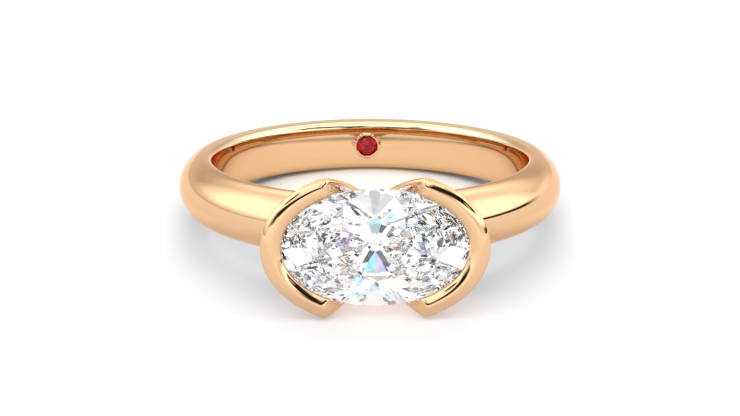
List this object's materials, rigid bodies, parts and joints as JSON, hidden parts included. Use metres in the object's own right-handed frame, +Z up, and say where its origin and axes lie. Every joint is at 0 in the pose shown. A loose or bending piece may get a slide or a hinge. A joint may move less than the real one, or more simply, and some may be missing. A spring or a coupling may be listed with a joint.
{
  "type": "oval engagement ring",
  "caption": "Engagement ring: a domed band that narrows to the back, an oval brilliant set across the finger in open-sided half-bezel walls, and a small red stone flush inside the band.",
  "frame": {"origin": "on the floor that the ring lies on, under the middle of its outline seen from above", "axes": "+Z up from the floor, -Y from the finger bore towards the head, +X along the main stone's length"},
  "size_m": [0.0202, 0.0236, 0.0073],
  "materials": {
    "gold": "polished rose-yellow gold",
    "diamond": "cut and polished colourless stone",
    "ruby": "cut and polished red stone"
  },
  "bodies": {
    "root": {"ring_body": "gold", "oval_diamond": "diamond", "inner_ruby": "ruby"}
  },
  "joints": []
}
